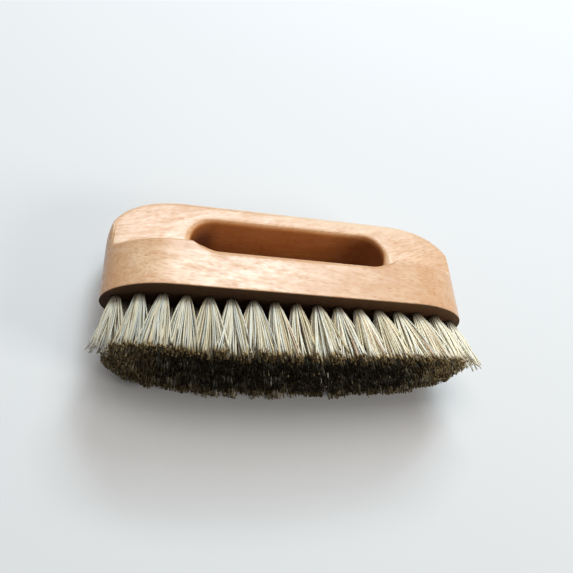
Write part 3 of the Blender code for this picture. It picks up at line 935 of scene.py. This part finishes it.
# %% Helpers that place the tips
FREE_LENGTH = 0.0358
CROWN_DROP = 0.0095
CROWN_SHARPNESS = 3
TRIM_WEAR = 0.0015
FAN_OVERLAP = 1.4
TIP_SCATTER = 0.0009
STEP_BACK_SHARE = 0.96
STRAY_SHARE = 0.06
STRAY_REACH_SHARES = (1.08, 1.4)
END_DRAWN_FROM = 0.080
END_DRAWN_SHARE = 0.70
SPLAYED_SHARE = 0.35
SPLAYED_LEFT_SHARE = 1.08
SPLAYED_RIGHT_SHARE = 1.42
SEED = 5

chance = random.Random(SEED)


def clamp(value, low=0.0, high=1.0):
    return min(max(value, low), high)


def scatter(spread):
    return Vector((chance.gauss(0, spread), chance.gauss(0, spread)))


def trimmed_length(x):
    """Free length of the stalks that end at a place along the brush."""
    along = clamp(x / (TIP_FACE_LENGTH / 2), -1.0)
    wear_and_painted_highlight = math.sin(math.pi * along) if along > 0 else math.sin(math.pi * along / 2)
    return FREE_LENGTH - CROWN_DROP * abs(along) ** CROWN_SHARPNESS - TRIM_WEAR * wear_and_painted_highlight


def drawn_in(tip):
    """The tips at both ends draw in, apart from a few in front that stand out sideways."""
    past = min(abs(tip.x), TIP_FACE_LENGTH / 2) - END_DRAWN_FROM
    if past <= 0:
        return tip
    stretch = END_DRAWN_SHARE
    if tip.y < 0 and chance.random() < SPLAYED_SHARE:
        stretch = SPLAYED_RIGHT_SHARE if tip.x > 0 else SPLAYED_LEFT_SHARE
    return Vector((math.copysign(END_DRAWN_FROM + past * stretch, tip.x), tip.y))


def tip_place(centre, spot, spread, shift, radius):
    """The place on the trimmed face of a spot in the tuft's unit disc."""
    way = spot.normalized()
    far = (reach(centre, way, FAN_OVERLAP) - radius) * spread
    tip = centre + way * (far * spot.length) + shift + scatter(TIP_SCATTER)
    while not inside_tip_face(tip * (1 + radius / BLOCK_THICKNESS)):
        tip = centre + (tip - centre) * STEP_BACK_SHARE
    if chance.random() < STRAY_SHARE:
        tip = centre + (tip - centre) * chance.uniform(*STRAY_REACH_SHARES)
    return drawn_in(tip)


for x in (-TIP_FACE_LENGTH / 2, 0.0, TIP_FACE_LENGTH / 4, TIP_FACE_LENGTH / 2):
    print("free length at", round(x, 4), "is", round(trimmed_length(x), 4))

# %% [markdown]
# ## Painted shade and light on the tips
# Inside the trimmed face the last few millimetres of each stalk are painted dark, a painted shade for the
# shade deep between the tips, and near the rim only the very tip, so that the light sides show from the
# front.
# Whole clumps get the painted shade a little further than others, which makes the line between light and
# dark ragged. At the two front corners the splayed stalks take light tones and no dark end, painted light
# for the light that they catch. The cut ends get painted light along the front rim and painted shade towards
# the back.

# %% Helpers for the painted shade and light on the tips
# Where the painted shade on the tips starts and how it varies.
TIP_SHADE_START_SHARES = (0.84, 0.985)
TIP_SHADE_FADE_LENGTH = 0.0145
TIP_SHADE_SCATTER = 0.035
CLUMP_TIP_SHADE_SHARE = 0.16
UNSHADED_TIP_SHARE = 0.015
LIGHT_TIP_SHARE = 0.999
LIGHT_END_LENGTH = 0.009
END_RIM_SHARE = 0.5
FRONT_FADE_LENGTH = 0.020
FRONT_MIDDLE_SHARE = 0.5
BACK_PAINTED_SHADE_SHARE = 0.75


def at_painted_light_corner(tip):
    """Whether a stalk stands out at one of the front corners, where the tips are painted light."""
    return tip.y < 0 and abs(tip.x) > TIP_FACE_LENGTH / 2 - LIGHT_END_LENGTH


def painted_shade_start(tip):
    """Where along a stalk the painted shade of its end begins: near the tip on the rim, sooner inside."""
    if at_painted_light_corner(tip):
        return LIGHT_TIP_SHARE
    from_end = (TIP_FACE_LENGTH / 2 - abs(tip.x) - LIGHT_END_LENGTH) * END_RIM_SHARE
    inside = clamp(min(rim_y(tip.x) - abs(tip.y), from_end) / TIP_SHADE_FADE_LENGTH)
    if chance.random() < UNSHADED_TIP_SHARE:
        inside = 0.0
    far_in, at_rim = TIP_SHADE_START_SHARES
    return at_rim + (far_in - at_rim) * inside - abs(chance.gauss(0, TIP_SHADE_SCATTER))


def tip_painted_light_share(tip, start):
    """Painted light on a cut end: 1 at the front rim, less inside, where the painted shade starts sooner,
    and behind.
    """
    far_in, at_rim = TIP_SHADE_START_SHARES
    near_rim = clamp((start - far_in) / (at_rim - far_in))
    back = clamp(tip.y / FRONT_FADE_LENGTH + FRONT_MIDDLE_SHARE)
    return (1 - BACK_PAINTED_SHADE_SHARE * back) * near_rim


print("dark ends start at", TIP_SHADE_START_SHARES, "of a stalk's length")

# %% [markdown]
# ## The tufts
# A tuft is a bundle of stalks, folded in the middle and held in its hole by a staple. Their roots are
# spread over the hole like seeds in a sunflower head, which fills a disc evenly, and their tips over the
# tuft's part of the trimmed face in the same order, drawn together in a few clumps that are cut alike.
# Thickness, bow and length vary by chance, and so do each tuft's spread and its place, so that no two
# stalks and no two tufts are alike. Towards the right the mix has fewer dark stalks and more straw-coloured
# ones.

# %% Helpers that grow the stalks of a tuft
FIBRES_IN_TUFT = 140
ROOT_RADIUS = 0.0020
FIBRE_RADIUS = (0.00024, 0.00044)
GOLDEN_ANGLE = math.pi * (3 - math.sqrt(5))
SEED_WOBBLE = 0.15
CLUMPS_IN_TUFT = 8
CLUMP_PULL = 0.8
CLUMP_CUT_SCATTER = 0.5
CLUMP_CUT_MOST = 0.8
CUT_SCATTER = 0.35
UNEVEN_CUT = 0.0020
SIDE_BOW = 0.0013
TUFT_SPREAD = (0.86, 1.08)
TUFT_SHIFT = 0.0008
TONE_AT_LEFT = (0.0, 0.90)
TONE_AT_RIGHT = (0.22, 1.0)
# Light tones for the stalks at the front corners, a painted light.
TONE_AT_PAINTED_LIGHT_CORNERS = (0.35, 0.70)
# How far down the painted root shade reaches in each row.
ROOT_PAINTED_SHADE_REACH = {"front": 0.30, "middle": 0.45, "back": 0.60}


def unit_way(angle):
    return Vector((math.cos(angle), math.sin(angle)))


def tone_range(root):
    """The tones that a tuft's stalks are drawn from, by its place along the brush."""
    rightwards = root.x / BLOCK_LENGTH + 0.5
    return [left + (right - left) * rightwards for left, right in zip(TONE_AT_LEFT, TONE_AT_RIGHT)]


def tuft_clumps():
    """Each clump's middle in the tuft's unit disc, and how much more it is cut and painted in shade than
    others.
    """
    clumps = []
    for _ in range(CLUMPS_IN_TUFT):
        way = unit_way(chance.uniform(0, 2 * math.pi))
        clumps.append((way * math.sqrt(chance.random()), chance.gauss(0, CLUMP_CUT_SCATTER)))
    return clumps


def tuft_stalks(row, root):
    """Each stalk of a tuft: its points in the brush's own axes, and the numbers that its colour reads."""
    centre = tip_centre(root)
    shift = scatter(TUFT_SHIFT)
    spread = chance.uniform(*TUFT_SPREAD)
    clumps = tuft_clumps()
    stalks = []
    for i in range(FIBRES_IN_TUFT):
        out = math.sqrt((i + 0.5) / FIBRES_IN_TUFT)
        spot = unit_way(i * GOLDEN_ANGLE + chance.uniform(-SEED_WOBBLE, SEED_WOBBLE)) * out
        clump, cut_back = min(clumps, key=lambda c: (c[0] - spot).length)
        radius = chance.uniform(*FIBRE_RADIUS)
        tip = tip_place(centre, spot.lerp(clump, CLUMP_PULL * chance.random()), spread, shift, radius)
        cut = abs(chance.gauss(0, CUT_SCATTER)) + min(abs(cut_back), CLUMP_CUT_MOST)
        length = trimmed_length(tip.x) - cut * UNEVEN_CUT
        bow_way = unit_way(chance.uniform(0, 2 * math.pi))
        bow = chance.uniform(0, SIDE_BOW)
        stalk = fibre_copy(fibre_line(root + spot * ROOT_RADIUS, tip, length, bow_way, bow), radius)
        # At the front corners the stalks take light tones and no dark end: painted light for the light they
        # catch.
        painted_light_corner = at_painted_light_corner(tip)
        tone = chance.uniform(*(TONE_AT_PAINTED_LIGHT_CORNERS if painted_light_corner else tone_range(root)))
        start = painted_shade_start(tip)
        sooner = 0.0 if painted_light_corner else CLUMP_TIP_SHADE_SHARE * max(cut_back, 0.0)
        run = np.clip(-stalk[:, 2] / length, 0.0, 1.0)
        stalks.append((stalk, {"tone": tone, "run": run, "painted_tip_shade": start - sooner,
                               "front": tip_painted_light_share(tip, start), "dusk": ROOT_PAINTED_SHADE_REACH[row]}))
    return stalks


print("stalks in a tuft", FIBRES_IN_TUFT)

# %% [markdown]
# ## From stalks to pieces
# Each tuft becomes one piece, because a hundred and forty loose stalks would be too many objects to handle.
# Its stalks are joined into one mesh, laid down on the table with the brush's own matrix, and kept just
# above the table where they bend down to it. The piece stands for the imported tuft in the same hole.

# %% Grow the tufts
TABLE_CLEARANCE = 0.00002


def tuft_piece(name, row, root):
    stalks = tuft_stalks(row, root)
    points = np.concatenate([stalk for stalk, _ in stalks])
    firsts = range(0, len(points), len(fibre_points))
    faces = [tuple(first + v for v in face) for first in firsts for face in fibre_faces]
    turned = points @ np.array(laid.to_3x3()).T + np.array(laid.translation)
    turned[:, 2] = np.maximum(turned[:, 2], TABLE_CLEARANCE)
    mesh = bpy.data.meshes.new("tuft_" + name)
    mesh.from_pydata(turned.tolist(), [], faces)
    for key in stalks[0][1]:
        values = [np.broadcast_to(numbers[key], len(stalk)) for stalk, numbers in stalks]
        values = np.concatenate(values).astype(np.float32)
        mesh.attributes.new(key, "FLOAT", "POINT").data.foreach_set("value", values)
    mesh.shade_smooth()
    mesh.materials.append(mixed_fibre)
    piece = bpy.data.objects.new("fibres_" + name, mesh)
    bpy.context.scene.collection.objects.link(piece)
    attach(piece, "root")
    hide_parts("tuft_" + name)
    return piece


tufts = [tuft_piece(name, row, root) for name, row, root in places]
triangles = sum(len(polygon.vertices) - 2 for piece in tufts for polygon in piece.data.polygons)
print("fibres", len(tufts) * FIBRES_IN_TUFT, "triangles", triangles)

# %% [markdown]
# ## Sizes
# The dressed brush must stay the size of the imported one, so both boxes are printed side by side.

# %% Print the sizes
dressed_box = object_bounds()
for name, box in (("cad", cad_box), ("dressed", dressed_box)):
    print(name, "box", [[round(x, 4) for x in corner] for corner in box])
